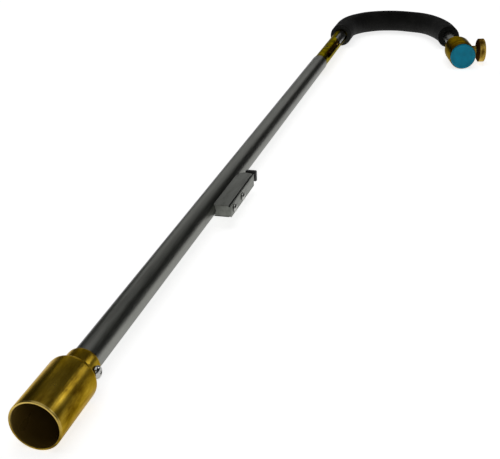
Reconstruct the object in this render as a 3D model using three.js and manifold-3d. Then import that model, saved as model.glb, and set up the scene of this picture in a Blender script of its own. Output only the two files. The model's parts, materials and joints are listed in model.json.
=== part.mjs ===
// A long-reach propane torch with a cane handle that screws straight onto a gas cylinder.
// It lies on its side: the long tube runs along +X from the burner mouth to the handle,
// the handle bends round towards -Y, and +Z is up. Millimetres throughout.
import * as THREE from 'three';
import { mergeVertices } from 'three/addons/utils/BufferGeometryUtils.js';
import Module from 'manifold-3d';

const wasm = await Module();
wasm.setup();

// ---- driving dimensions -------------------------------------------------------------------
// Lengths along the tube are measured from the burner mouth, radii from the tube's axis.
const GAP = 0.3; // clearance between neighbouring pieces

const TUBE = { start: 56, end: 730, radius: 9, bore: 7.8 };
const BELL = { radius: 15.55, wall: 1.4, shoulder: 45, neckStart: 47.6, neckRadius: 10.9, end: 62.6 };
const BURNER_SCREW = { x: 55, headRadius: 4, headHeight: 2.9, shankRadius: 1.7, tip: 6.4 };
const FLAME_HOLDER = { x: 39, thickness: 1.2, holes: 8, holeRadius: 2.2, holeCircle: 8.6 };
const ELECTRODE = { tip: 27, end: 66, radius: 0.7 };
const INSULATOR = { start: 33, end: 61, radius: 2.6 };
const LEAD = { radius: 0.9, bendRadius: 7, exitX: 325 };

const BOX = { start: 288.4, end: 355, side: 22.2, halfHeight: 5.1, sheet: 0.6, seam: 1.3, relief: 1.5 };
// The rear corner of the cover's top, and how far its two edges there slant, in degrees.
const TOP_CORNER = { x: 359, y: -12.4, tubeSlant: 31, rearSlant: 15 };
const COVER_SCREWS = { front: 296.4, rear: 319.7 };
const COVER_SCREW = { headRadius: 3.1, headHeight: 2.3, shankRadius: 1.5, tip: 6.5 };
const PIEZO = { axis: 15.3, bore: 3.3, start: 327, radius: 2.6 };
const BUTTON = {
  padStart: 363.4, padEnd: 366.9, padSide: 9.6, padInner: 12.4, cupStart: 345.6, cupEnd: 353,
};

const MIXER = { start: 730.3, radius: 8.3, bore: 7, ring: 16, end: 876, spigot: 14, throat: 5 };
const AIR_SLOT = { count: 2, width: 7, rearWidth: 12.8, rearStart: 822, end: 872, angle: 57 };
const SLEEVE_SCREW = { x: 776, radius: 1.9 };
const JET = { tip: 752, seat: 770, radius: 5, bore: 2.8, end: 832 };
const NOZZLE = { radius: 4, tailRadius: 2.5, bore: 1.5, orifice: 0.4 };
const FOAM = { start: 867, radius: 14, frontRoom: 8.6, endGap: 97 };
const GAS_TUBE = { start: 826, radius: 6.65, bore: 5.4 };

// The cane: three bends, each with its radius and its turn in degrees, and two straight legs.
const CANE = {
  bendStart: 904, hook: [57.6, 106.7], link: 13.1, heel: [50, 35.6], ease: [138, 22.7], tail: 109.4,
};

// Along the inlet's axis, measured from the front of its cap into the cane.
const INLET = { front: 2.3, radius: 15.75, bore: 12.5, socketDepth: 14.7, shoulder: 36 };
const COLLAR = { start: 38.2, end: 48, radius: 13.2 };
const NECK = { radius: 9, socketStart: 52, end: 62 };
const STEM = { along: 27.5, radius: 1.9, boreRadius: 4.2 };
const DEPRESSOR = { radius: 1.9, bore: 0.7 };
const KNOB = { inner: 22.2, outer: 30.8, radius: 13.9, recess: 1.8, recessRadius: 8.8, teeth: 48 };
const KNOB_SCREW = { headRadius: 4, headHeight: 1.9, shankRadius: 0.9, length: 6.5 };
const CAP = { flangeRadius: 14.8, flange: 2, plugRadius: 12.2, plugEnd: 11, wall: 1.3 };
const SEAL = { radius: 8.6, bore: 5.4, thickness: 2.1 };
const PACKING_NUT = { flats: 10, height: 4.6, plugStart: 10 };
const O_RING = { centre: 3.05, section: 0.8, along: 6.6 };

// ---- materials ----------------------------------------------------------------------------
const metal = (color, roughness) => new THREE.MeshStandardMaterial({ color, roughness, metalness: 1 });
const dull = (color, roughness) => new THREE.MeshStandardMaterial({ color, roughness, metalness: 0 });

const brass = metal(0xa58c2d, 0.32);
const aluminium = metal(0x8c8e86, 0.42);
const sheetMetal = metal(0x84867d, 0.5);
const brightSteel = metal(0xc9cbc8, 0.18);
const springSteel = metal(0x8f9194, 0.3);
const darkSteel = metal(0x55544f, 0.5);
const ceramic = dull(0xe6e2d6, 0.55);
const crystalGrey = dull(0x77756b, 0.6);
const blackPlastic = dull(0x0c0c0b, 0.45);
const bluePlastic = dull(0x1e6c87, 0.5);
const foam = dull(0x0e0e0c, 0.9);
const rubber = dull(0x15150f, 0.8);
const redSilicone = dull(0x7a2a1e, 0.6);
const sinteredBronze = metal(0x8a5f32, 0.7);

// ---- shape helpers ------------------------------------------------------------------------
// A closed profile of [along, radius] points spun about X. It runs towards +X along the
// outside and back along the bore, or starts and ends on the axis.
function turned(profile, sides = 32) {
  const points = profile.map(([along, radius]) => new THREE.Vector2(radius, along));
  const onAxis = points[0].x === 0 && points.at(-1).x === 0;
  if (!onAxis) points.push(points[0].clone());
  return new THREE.LatheGeometry(points, sides).rotateZ(-Math.PI / 2);
}

// A plain pipe or, with no bore, a plain rod from x0 to x1.
function pipe(x0, x1, radius, bore = 0, sides = 32) {
  const outside = [[x0, radius], [x1, radius]];
  if (bore === 0) return turned([[x0, 0], ...outside, [x1, 0]], sides);
  return turned([...outside, [x1, bore], [x0, bore]], sides);
}

// A rod along Y from y0 to y1 at the given x and z, used for cross holes.
function crossRod(x, y0, y1, radius, sides = 20, z = 0) {
  const rod = new THREE.CylinderGeometry(radius, radius, Math.abs(y1 - y0), sides);
  return rod.translate(x, (y0 + y1) / 2, z);
}

// A box between two corners.
function block(low, high) {
  const size = high.map((value, i) => value - low[i]);
  const centre = high.map((value, i) => (value + low[i]) / 2);
  return new THREE.BoxGeometry(...size).translate(...centre);
}

// A ring-shaped or full round section swept along a curve.
function swept(curve, steps, radius, bore = 0, sides = 24) {
  const section = new THREE.Shape().absarc(0, 0, radius, 0, 2 * Math.PI);
  if (bore > 0) section.holes.push(new THREE.Path().absarc(0, 0, bore, 0, 2 * Math.PI, true));
  return new THREE.ExtrudeGeometry(section, { extrudePath: curve, steps, curveSegments: sides / 2 });
}

function toSolid(geometry) {
  const bare = geometry.clone();
  bare.deleteAttribute('normal');
  bare.deleteAttribute('uv');
  const merged = mergeVertices(bare, 1e-4);
  const vertProperties = merged.attributes.position.array;
  const triVerts = new Uint32Array(merged.index.array);
  return new wasm.Manifold(new wasm.Mesh({ numProp: 3, vertProperties, triVerts }));
}

function toGeometry(solid) {
  const mesh = solid.getMesh();
  const geometry = new THREE.BufferGeometry();
  geometry.setAttribute('position', new THREE.BufferAttribute(new Float32Array(mesh.vertProperties), 3));
  geometry.setIndex(new THREE.BufferAttribute(new Uint32Array(mesh.triVerts), 1));
  geometry.computeVertexNormals();
  return geometry;
}

function cut(base, ...tools) {
  return toGeometry(tools.reduce((left, tool) => left.subtract(toSolid(tool)), toSolid(base)));
}

function join(base, ...extras) {
  return toGeometry(extras.reduce((sum, extra) => sum.add(toSolid(extra)), toSolid(base)));
}

function piece(parent, name, geometry, material) {
  const mesh = new THREE.Mesh(geometry, material);
  mesh.name = name;
  parent.add(mesh);
  return mesh;
}

function groupIn(parent) {
  const group = new THREE.Group();
  parent.add(group);
  return group;
}

// A run of straight and curved legs in the XY plane. It starts along +X, and a positive turn
// bends it to the right, towards -Y. Its parameter is proportional to the length along it.
class BentRun extends THREE.Curve {
  constructor(start, legs) {
    super();
    this.start = start;
    this.legs = legs;
    this.total = legs.reduce((sum, leg) => sum + leg.length, 0);
  }

  // Position and heading at a distance from the start.
  at(distance) {
    const spot = { x: this.start[0], y: this.start[1], heading: 0 };
    let left = distance;
    for (const leg of this.legs) {
      const run = Math.min(left, leg.length);
      const turn = leg.turn ? (leg.turn * run) / leg.length : 0;
      const radius = leg.turn ? leg.length / leg.turn : 0;
      const ahead = leg.turn ? radius * Math.sin(turn) : run;
      const aside = leg.turn ? radius * (1 - Math.cos(turn)) : 0;
      const [cos, sin] = [Math.cos(spot.heading), Math.sin(spot.heading)];
      spot.x += ahead * cos + aside * sin;
      spot.y += ahead * sin - aside * cos;
      spot.heading -= turn;
      left -= run;
    }
    return spot;
  }

  getPoint(t, target = new THREE.Vector3()) {
    const { x, y } = this.at(t * this.total);
    return target.set(x, y, 0);
  }
}

const bend = (radius, degrees) => {
  const turn = THREE.MathUtils.degToRad(degrees);
  return { length: radius * turn, turn };
};
const straight = (length) => ({ length });

// The cane's centreline from a point on the tube's axis to a distance before the inlet's front.
function caneRun(startX, endGap) {
  return new BentRun([startX, 0], [
    straight(CANE.bendStart - startX),
    bend(...CANE.hook),
    straight(CANE.link),
    bend(...CANE.heel),
    bend(...CANE.ease),
    straight(CANE.tail - endGap),
  ]);
}

// A round wire coil about the X axis.
class Coil extends THREE.Curve {
  constructor(x0, x1, radius, turns) {
    super();
    Object.assign(this, { x0, x1, radius, turns });
  }

  getPoint(t, target = new THREE.Vector3()) {
    const angle = 2 * Math.PI * this.turns * t;
    const x = THREE.MathUtils.lerp(this.x0, this.x1, t);
    return target.set(x, this.radius * Math.cos(angle), this.radius * Math.sin(angle));
  }
}

// A dome-headed screw along X: its shank starts at x 0 and runs to minus its length, and the
// underside of its head is at x 0.
function domeScrew(headRadius, headHeight, shankRadius, length) {
  const dome = [];
  const steps = 5;
  for (let i = 0; i <= steps; i++) {
    const angle = (Math.PI / 2) * (i / steps);
    dome.push([0.6 + (headHeight - 0.6) * Math.sin(angle), headRadius * Math.cos(angle)]);
  }
  dome[steps][1] = 0;
  return turned([[-length, 0], [-length, shankRadius], [0, shankRadius], [0, headRadius], ...dome], 16);
}

// ---- burner -------------------------------------------------------------------------------
// Brass bell: a thin-walled mouth, a rounded shoulder and a neck that slips over the tube.
function burnerBell() {
  const inner = BELL.radius - BELL.wall;
  const round = 2.6;
  const shoulder = [];
  for (const angle of [0, 30, 60, 90]) {
    const turn = THREE.MathUtils.degToRad(angle);
    shoulder.push([
      BELL.shoulder + round * Math.sin(turn),
      BELL.radius - round * (1 - Math.cos(turn)),
    ]);
  }
  const bell = turned([
    [0, BELL.radius - 0.3],
    [0.3, BELL.radius],
    ...shoulder,
    [BELL.neckStart, BELL.neckRadius],
    [BELL.end - 3, BELL.neckRadius],
    [BELL.end - 1.2, BELL.neckRadius - 0.4],
    [BELL.end, BELL.neckRadius - 1.3],
    [BELL.end, TUBE.radius + GAP],
    [BELL.shoulder + 1, TUBE.radius + GAP],
    [BELL.shoulder + 1, inner - 3],
    [BELL.shoulder - 1.5, inner - 0.6],
    [BELL.shoulder - 3, inner],
    [0.3, inner],
    [0, inner + 0.3],
  ], 48);
  const screwHole = crossRod(BURNER_SCREW.x, -BELL.radius, 0, BURNER_SCREW.shankRadius + GAP);
  return cut(bell, screwHole);
}

// Pressed disc that keeps the flame in the bell, pierced by a ring of gas holes.
function flameHolder() {
  const { x, thickness, holes, holeRadius, holeCircle } = FLAME_HOLDER;
  const disc = pipe(x, x + thickness, BELL.radius - BELL.wall - GAP, INSULATOR.radius + GAP);
  const gasHoles = [];
  for (let i = 0; i < holes; i++) {
    const angle = (2 * Math.PI * i) / holes;
    const hole = pipe(x - 1, x + thickness + 1, holeRadius, 0, 12);
    gasHoles.push(hole.translate(0, holeCircle * Math.cos(angle), holeCircle * Math.sin(angle)));
  }
  return cut(disc, ...gasHoles);
}

// Spark wire: straight inside its insulator, with its tip bent towards the bell's wall.
function electrodeRod() {
  const bendRadius = 3;
  const tail = straight(ELECTRODE.end - ELECTRODE.tip - bendRadius);
  const run = new BentRun([0, 0], [tail, bend(bendRadius, 70), straight(4)]);
  return swept(run, 24, ELECTRODE.radius, 0, 8).rotateZ(Math.PI).translate(ELECTRODE.end, 0, 0);
}

function addBurner(torch) {
  const { x, headRadius, headHeight, shankRadius, tip } = BURNER_SCREW;
  const seat = BELL.neckRadius + GAP;
  const screwShape = domeScrew(headRadius, headHeight, shankRadius, seat - tip);
  piece(torch, 'burner_bell', burnerBell(), brass);
  piece(torch, 'flame_holder', flameHolder(), darkSteel);
  const screw = piece(torch, 'burner_screw', screwShape, brightSteel);
  screw.position.set(x, -seat, 0);
  screw.rotation.z = -Math.PI / 2;
  const insulator = pipe(INSULATOR.start, INSULATOR.end, INSULATOR.radius, ELECTRODE.radius + GAP, 20);
  piece(torch, 'electrode_insulator', insulator, ceramic);
  piece(torch, 'electrode_rod', electrodeRod(), darkSteel);
}

// ---- tube ---------------------------------------------------------------------------------
function mainTube() {
  const tube = pipe(TUBE.start, TUBE.end, TUBE.radius, TUBE.bore, 36);
  const reach = -TUBE.radius - 1;
  const slack = 1.5; // the burner screw passes through an open notch in the tube's front end
  return cut(
    tube,
    crossRod(BURNER_SCREW.x + slack, reach, 0, BURNER_SCREW.shankRadius + GAP + slack),
    crossRod(COVER_SCREWS.front, reach, 0, COVER_SCREW.shankRadius + GAP),
    crossRod(COVER_SCREWS.rear, reach, 0, COVER_SCREW.shankRadius + GAP),
    crossRod(LEAD.exitX, reach, 0, LEAD.radius + GAP),
  );
}

// Insulated spark lead: along the tube's axis, then out through the wall into the igniter.
function ignitionLead() {
  const start = ELECTRODE.end + GAP;
  const run = new BentRun([start, 0], [
    straight(LEAD.exitX - LEAD.bendRadius - start),
    bend(LEAD.bendRadius, 90),
    straight(PIEZO.axis - LEAD.bendRadius - 0.5),
  ]);
  return swept(run, 48, LEAD.radius, 0, 6);
}

function addTube(torch) {
  piece(torch, 'main_tube', mainTube(), aluminium);
  piece(torch, 'ignition_lead', ignitionLead(), redSilicone);
}

// ---- igniter ------------------------------------------------------------------------------
// Folded sheet cover: a box open at the rear and towards the tube, with an open seam between
// its top and its outer side, another under its front, and relief holes at two corners. Its
// top reaches further back than its sides, to a corner between two slanting edges.
function igniterCover() {
  const { start, end, side, halfHeight, sheet, seam, relief } = BOX;
  const innerTop = halfHeight - sheet;
  const innerSide = side - sheet;
  const topEnd = TOP_CORNER.x;
  const outer = block([start, -side, -halfHeight], [topEnd, 0, halfHeight]);
  const inside = block([start + sheet, -innerSide, -innerTop], [topEnd + 1, 1, innerTop]);
  const tubeRoom = pipe(start - 1, topEnd + 1, TUBE.radius + GAP);
  const topSeam = block(
    [start + sheet, -innerSide, innerTop - 1],
    [topEnd + 1, -innerSide + seam, halfHeight + 1],
  );
  const frontSeam = block([start - 1, -innerSide, -halfHeight - 1], [start + sheet, 1, -innerTop + 0.1]);
  const rearCut = block([end, -side - 1, -halfHeight - 1], [topEnd + 1, 1, innerTop - 0.1]);
  const slanted = (x0, y0, x1, y1, degrees) => block([x0, y0, innerTop - 0.1], [x1, y1, halfHeight + 1])
    .rotateZ(THREE.MathUtils.degToRad(-degrees))
    .translate(topEnd, TOP_CORNER.y, 0);
  const reliefHole = (z) => block(
    [start - 1, -innerSide, z - relief],
    [start + 2 * sheet, -innerSide + relief, z + relief],
  );
  const screwHoles = Object.values(COVER_SCREWS).map(
    (x) => crossRod(x, -side - 1, -innerSide + 1, COVER_SCREW.shankRadius + GAP),
  );
  return cut(
    outer, inside, tubeRoom, topSeam, frontSeam, rearCut,
    slanted(-15, 0, 3, 9, TOP_CORNER.tubeSlant),
    slanted(0, -12, 6, 1, TOP_CORNER.rearSlant),
    reliefHole(halfHeight), reliefHole(-halfHeight), ...screwHoles,
  );
}

// Moulded housing that fills the cover: two screw holes, the piezo bore and the lead's way in.
function igniterHousing() {
  const { start, end, side, halfHeight, sheet } = BOX;
  const clear = sheet + GAP;
  const tubeSide = TUBE.radius + 2 * GAP;
  const leadHole = LEAD.radius + GAP;
  const body = block(
    [start + clear, -side + clear, -halfHeight + clear],
    [end - 1, -tubeSide, halfHeight - clear],
  );
  const screwHoles = Object.values(COVER_SCREWS).map(
    (x) => crossRod(x, -side, 0, COVER_SCREW.shankRadius + GAP),
  );
  return cut(
    body,
    ...screwHoles,
    pipe(PIEZO.start, end + 1, PIEZO.bore, 0, 24).translate(0, -PIEZO.axis, 0),
    crossRod(LEAD.exitX, -PIEZO.axis - leadHole, 0, leadHole, 12),
    pipe(LEAD.exitX, PIEZO.start + 1, leadHole, 0, 12).translate(0, -PIEZO.axis, 0),
  );
}

// An outline with rounded corners between two corners.
function roundedOutline(x0, y0, x1, y1, radius) {
  const outline = new THREE.Shape();
  const quarter = Math.PI / 2;
  outline.absarc(x1 - radius, y1 - radius, radius, 0, quarter);
  outline.absarc(x0 + radius, y1 - radius, radius, quarter, 2 * quarter);
  outline.absarc(x0 + radius, y0 + radius, radius, 2 * quarter, 3 * quarter);
  outline.absarc(x1 - radius, y0 + radius, radius, 3 * quarter, 4 * quarter);
  return outline;
}

// Push button: a rounded thumb pad on a stem that is hollowed out in front for its spring.
function igniterButton() {
  const { padStart, padEnd, padSide, padInner, cupStart, cupEnd } = BUTTON;
  const stemRadius = PIEZO.bore - GAP;
  const cupRadius = stemRadius - 0.6;
  const stem = turned([
    [cupStart, stemRadius],
    [padStart + 1, stemRadius],
    [padStart + 1, 0],
    [cupEnd, 0],
    [cupEnd, cupRadius],
    [cupStart, cupRadius],
  ], 20);
  const bevel = 0.5;
  const inner = PIEZO.axis - padInner;
  const outline = roundedOutline(inner - padSide, -padSide / 2, inner, padSide / 2, 1.6);
  const pad = new THREE.ExtrudeGeometry(outline, {
    depth: padEnd - padStart - 2 * bevel,
    curveSegments: 4,
    bevelEnabled: true,
    bevelSize: bevel,
    bevelOffset: -bevel,
    bevelThickness: bevel,
    bevelSegments: 1,
  });
  pad.rotateX(Math.PI / 2).rotateZ(Math.PI / 2).translate(padStart + bevel, 0, 0);
  return join(stem, pad);
}

function addIgniter(torch) {
  const { headRadius, headHeight, shankRadius, tip } = COVER_SCREW;
  const seat = BOX.side + GAP;
  piece(torch, 'igniter_cover', igniterCover(), sheetMetal);
  piece(torch, 'igniter_housing', igniterHousing(), blackPlastic);
  for (const [end, x] of Object.entries(COVER_SCREWS)) {
    const shape = domeScrew(headRadius, headHeight, shankRadius, seat - tip);
    const screw = piece(torch, `cover_screw_${end}`, shape, brightSteel);
    screw.position.set(x, -seat, 0);
    screw.rotation.z = -Math.PI / 2;
  }

  const piezo = groupIn(torch);
  piezo.position.y = -PIEZO.axis;
  const face = PIEZO.start + GAP;
  const plate = pipe(face, face + 1, PIEZO.bore - GAP, 0, 20);
  const stub = pipe(LEAD.exitX + LEAD.radius + GAP, face + 0.5, 0.7, 0, 10);
  const spring = new Coil(face + 15, BUTTON.cupEnd - GAP - 0.25, 1.7, 6);
  piece(piezo, 'spark_contact', join(plate, stub), brass);
  piece(piezo, 'piezo_crystal', pipe(face + 1.3, face + 7.4, PIEZO.radius, 0, 20), crystalGrey);
  piece(piezo, 'impact_anvil', pipe(face + 7.7, face + 9.2, PIEZO.radius, 0, 20), darkSteel);
  piece(piezo, 'piezo_hammer', pipe(face + 10.9, face + 14.4, 2, 0, 16), darkSteel);
  piece(piezo, 'button_spring', swept(spring, 48, 0.25, 0, 6), springSteel);
  piece(piezo, 'igniter_button', igniterButton(), blackPlastic);
}

// ---- gas mixer ----------------------------------------------------------------------------
// Brass sleeve: a spigot inside the tube, a solid ring, then long air slots.
function mixerSleeve() {
  const { start, radius, bore, ring, end, spigot, throat } = MIXER;
  const spigotRadius = TUBE.bore - GAP;
  const sleeve = turned([
    [start - spigot, spigotRadius],
    [start, spigotRadius],
    [start, radius],
    [end, radius],
    [end, bore],
    [start + ring - 4, bore],
    [start + 2, throat],
    [start - spigot, throat + 0.6],
  ], 36);
  const slots = [];
  for (let i = 0; i < AIR_SLOT.count; i++) {
    const turn = AIR_SLOT.angle + (360 * i) / AIR_SLOT.count;
    slots.push(airSlot(start + ring).rotateX(THREE.MathUtils.degToRad(turn)));
  }
  const holeRadius = SLEEVE_SCREW.radius + GAP;
  const screwHole = new THREE.CylinderGeometry(holeRadius, holeRadius, radius, 16);
  screwHole.rotateX(Math.PI / 2).translate(SLEEVE_SCREW.x, 0, radius);
  return cut(sleeve, ...slots, screwHole);
}

// The room of one round-ended slot that widens at its rear, from the axis outwards along +Z.
function airSlot(slotStart) {
  const half = AIR_SLOT.width / 2;
  const rearHalf = AIR_SLOT.rearWidth / 2;
  const height = MIXER.radius + 2;
  const front = new THREE.CylinderGeometry(half, half, height, 16)
    .rotateX(Math.PI / 2)
    .translate(slotStart + half, 0, height / 2);
  const narrow = block([slotStart + half, -half, 0], [AIR_SLOT.end, half, height]);
  const wide = block([AIR_SLOT.rearStart, -rearHalf, 0], [AIR_SLOT.end, rearHalf, height]);
  return join(narrow, front, wide);
}

// Long brass barrel inside the sleeve: it carries the jet in front and plugs the gas tube.
function jetHolder() {
  const { seat, radius, bore, end } = JET;
  const plugRadius = GAS_TUBE.bore - GAP;
  return turned([
    [seat, radius],
    [GAS_TUBE.start - 2, radius],
    [GAS_TUBE.start, plugRadius],
    [end + 8, plugRadius],
    [end + 8, bore],
    [seat, bore],
  ], 28);
}

// Turned jet: a threaded tail in the holder and a tapering nose with the gas orifice.
function jetNozzle() {
  const { radius, tailRadius, bore, orifice } = NOZZLE;
  const face = JET.seat - GAP;
  return turned([
    [JET.tip, 1.3],
    [face - 8, 2.9],
    [face - 8, radius],
    [face, radius],
    [face, tailRadius],
    [face + 7, tailRadius],
    [face + 7, bore],
    [face - 14, bore],
    [face - 15, orifice],
    [JET.tip, orifice],
  ], 24);
}

function addMixer(torch) {
  piece(torch, 'mixer_sleeve', mixerSleeve(), brass);
  piece(torch, 'jet_holder', jetHolder(), brass);
  piece(torch, 'jet_nozzle', jetNozzle(), brass);
  const filterStart = JET.seat + 10;
  piece(torch, 'jet_filter', pipe(filterStart, filterStart + 4, 2.5, 0, 20), sinteredBronze);
  const screwLength = MIXER.radius - JET.radius - GAP;
  const screw = new THREE.CylinderGeometry(SLEEVE_SCREW.radius, SLEEVE_SCREW.radius, screwLength, 16);
  screw.rotateX(Math.PI / 2).translate(SLEEVE_SCREW.x, 0, MIXER.radius - screwLength / 2);
  piece(torch, 'sleeve_screw', screw, darkSteel);
}

// ---- cane handle --------------------------------------------------------------------------
function addHandle(torch) {
  const gasRun = caneRun(GAS_TUBE.start, NECK.socketStart + GAP);
  piece(torch, 'gas_tube', swept(gasRun, 30, GAS_TUBE.radius, GAS_TUBE.bore, 12), aluminium);

  const foamRun = caneRun(FOAM.start, FOAM.endGap);
  const foamTube = swept(foamRun, 28, FOAM.radius, GAS_TUBE.radius + GAP + 0.1, 18);
  const sleeveRoom = pipe(FOAM.start - 1, MIXER.end + GAP, FOAM.frontRoom);
  piece(torch, 'foam_grip', cut(foamTube, sleeveRoom), foam);
}

// ---- inlet valve --------------------------------------------------------------------------
// These pieces are made about their own X axis, which runs from the inlet's front into the cane.
function valveBody() {
  const { front, radius, bore, socketDepth, shoulder } = INLET;
  const socketEnd = front + socketDepth;
  const tubeSocket = GAS_TUBE.radius + GAP;
  const body = turned([
    [front, radius - 0.8],
    [front + 0.8, radius],
    [shoulder, radius],
    [COLLAR.start, radius - 1.6],
    [COLLAR.start, COLLAR.radius],
    [COLLAR.end, COLLAR.radius],
    [COLLAR.end + 2, COLLAR.radius - 1.6],
    [NECK.socketStart + 0.5, NECK.radius],
    [NECK.end, NECK.radius],
    [NECK.end, tubeSocket],
    [NECK.socketStart, tubeSocket],
    [NECK.socketStart, 0],
    [socketEnd, 0],
    [socketEnd, bore],
    [front, bore],
  ], 40);
  const passage = 1.6;
  const seatY = -1.8;
  const outletY = -4;
  return cut(
    body,
    pipe(socketEnd - 1, socketEnd + 7, DEPRESSOR.radius + GAP, 0, 16),
    pipe(socketEnd - 1, STEM.along + 1, passage, 0, 12),
    crossRod(STEM.along, seatY - 1, 0, 1.2, 12),
    crossRod(STEM.along, -radius - 2, seatY, STEM.boreRadius, 24),
    pipe(STEM.along, NECK.socketStart + 1, passage, 0, 12).translate(0, outletY, 0),
  );
}

function valveStem() {
  const [tip, end, tapped] = [2.1, KNOB.outer - KNOB.recess - GAP, 8];
  return turned([
    [tip, 0],
    [tip, 0.4],
    [tip + 2.4, STEM.radius],
    [end, STEM.radius],
    [end, 1.2],
    [end - tapped, 1.2],
    [end - tapped, 0],
  ], 20);
}

// Straight-knurled hand wheel with a shallow recess for its screw.
function valveKnob() {
  const { inner, outer, radius, recess, recessRadius, teeth } = KNOB;
  const bevel = 0.6;
  const rim = new THREE.Shape();
  for (let i = 0; i < 2 * teeth; i++) {
    const angle = (Math.PI * i) / teeth;
    const reach = (i % 2 ? radius - 0.45 : radius) - bevel;
    const [y, z] = [reach * Math.cos(angle), reach * Math.sin(angle)];
    if (i === 0) rim.moveTo(y, z);
    else rim.lineTo(y, z);
  }
  const wheel = new THREE.ExtrudeGeometry(rim, {
    depth: outer - inner - 2 * bevel,
    bevelEnabled: true,
    bevelSize: bevel,
    bevelThickness: bevel,
    bevelSegments: 1,
  });
  wheel.translate(0, 0, inner + bevel).rotateY(Math.PI / 2);
  return cut(
    wheel,
    pipe(inner - 1, outer + 1, STEM.radius + GAP, 0, 20),
    pipe(outer - recess, outer + 1, recessRadius, 0, 32),
  );
}

// Hexagonal nut that closes the stem's bore, with a round plug reaching into the body.
function packingNut() {
  const { flats, height, plugStart } = PACKING_NUT;
  const corner = flats / Math.sqrt(3);
  const seat = INLET.radius + GAP;
  const hex = new THREE.CylinderGeometry(corner, corner, height, 6).rotateZ(Math.PI / 2);
  hex.translate(seat + height / 2, 0, 0);
  const plug = pipe(plugStart, seat + 1, STEM.boreRadius - GAP, 0, 20);
  return cut(join(hex, plug), pipe(plugStart - 1, seat + height + 1, STEM.radius + GAP, 0, 20));
}

// Cap with a round flange that covers the inlet's rim and a hollow plug inside its thread.
function dustCap() {
  const { flangeRadius, flange, plugRadius, plugEnd, wall } = CAP;
  return turned([
    [0, 0],
    [0, flangeRadius - 0.7],
    [0.7, flangeRadius],
    [flange, flangeRadius],
    [flange, plugRadius],
    [plugEnd, plugRadius - 0.2],
    [plugEnd, plugRadius - wall],
    [flange, plugRadius - wall],
    [flange, 0],
  ], 48);
}

function addInlet(torch) {
  const run = caneRun(GAS_TUBE.start, 0);
  const front = run.at(run.total);
  const inlet = groupIn(torch);
  inlet.position.set(front.x, front.y, 0);
  inlet.rotation.z = front.heading + Math.PI;
  const socketEnd = INLET.front + INLET.socketDepth;
  const sealEnd = socketEnd - GAP;
  const pin = pipe(socketEnd - 7, socketEnd + 6.5, DEPRESSOR.radius, DEPRESSOR.bore, 16);
  piece(inlet, 'valve_body', valveBody(), brass);
  piece(inlet, 'cylinder_seal', pipe(sealEnd - SEAL.thickness, sealEnd, SEAL.radius, SEAL.bore), rubber);
  piece(inlet, 'depressor_pin', pin, brass);
  piece(inlet, 'dust_cap', dustCap(), bluePlastic);

  // The valve's own X axis points out of the body's side, away from the main tube.
  const valve = groupIn(inlet);
  valve.position.x = STEM.along;
  valve.rotation.z = -Math.PI / 2;
  const ring = new THREE.TorusGeometry(O_RING.centre, O_RING.section, 8, 20);
  ring.rotateY(Math.PI / 2).translate(O_RING.along, 0, 0);
  piece(valve, 'packing_nut', packingNut(), brass);
  piece(valve, 'stem_seal', ring, rubber);
  piece(valve, 'valve_stem', valveStem(), springSteel);
  piece(valve, 'valve_knob', valveKnob(), brass);
  const { headRadius, headHeight, shankRadius, length } = KNOB_SCREW;
  const screwShape = domeScrew(headRadius, headHeight, shankRadius, length);
  const knobScrew = piece(valve, 'knob_screw', screwShape, brightSteel);
  knobScrew.position.x = KNOB.outer - KNOB.recess + GAP;
}

// ---- assembly -----------------------------------------------------------------------------
const torch = new THREE.Group();
addBurner(torch);
addTube(torch);
addIgniter(torch);
addMixer(torch);
addHandle(torch);
addInlet(torch);

// The part's origin is the middle of the bottom of its bounding box.
const bounds = new THREE.Box3().setFromObject(torch, true);
const middle = bounds.getCenter(new THREE.Vector3());
torch.position.set(-middle.x, -middle.y, -bounds.min.z);

const part = new THREE.Group();
part.add(torch);

export default part;
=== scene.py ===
"""Looks of a long-reach propane torch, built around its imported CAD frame.

Lengths are millimetres in the shapes, turned into metres as each mesh is made. Most shapes are
rings along a line: the tube's axis, the cane's bent centreline, the inlet's axis or the valve's
axis.
"""
import json
import math

import bmesh
import bpy
from mathutils import Matrix, Vector, noise


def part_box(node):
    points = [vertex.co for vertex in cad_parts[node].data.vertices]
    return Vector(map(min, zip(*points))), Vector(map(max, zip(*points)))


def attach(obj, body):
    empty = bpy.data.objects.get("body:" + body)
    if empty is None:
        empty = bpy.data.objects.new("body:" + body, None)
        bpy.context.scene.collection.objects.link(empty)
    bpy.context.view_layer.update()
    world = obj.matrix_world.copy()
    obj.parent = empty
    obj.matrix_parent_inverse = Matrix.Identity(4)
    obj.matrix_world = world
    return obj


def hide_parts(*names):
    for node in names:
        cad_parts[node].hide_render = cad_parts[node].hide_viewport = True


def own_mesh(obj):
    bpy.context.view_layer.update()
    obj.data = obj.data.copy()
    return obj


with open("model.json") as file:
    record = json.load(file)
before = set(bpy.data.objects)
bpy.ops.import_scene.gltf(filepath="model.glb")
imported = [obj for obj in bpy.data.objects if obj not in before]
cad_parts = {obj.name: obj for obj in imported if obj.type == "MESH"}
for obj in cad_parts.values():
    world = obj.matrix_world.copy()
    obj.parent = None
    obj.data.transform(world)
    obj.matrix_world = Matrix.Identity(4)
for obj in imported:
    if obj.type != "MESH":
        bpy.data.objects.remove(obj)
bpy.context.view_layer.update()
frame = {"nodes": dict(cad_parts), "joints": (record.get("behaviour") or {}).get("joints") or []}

MM = 0.001
UP = Vector((0, 0, 1))
joints = {joint["name"]: joint for joint in frame["joints"]}

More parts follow.
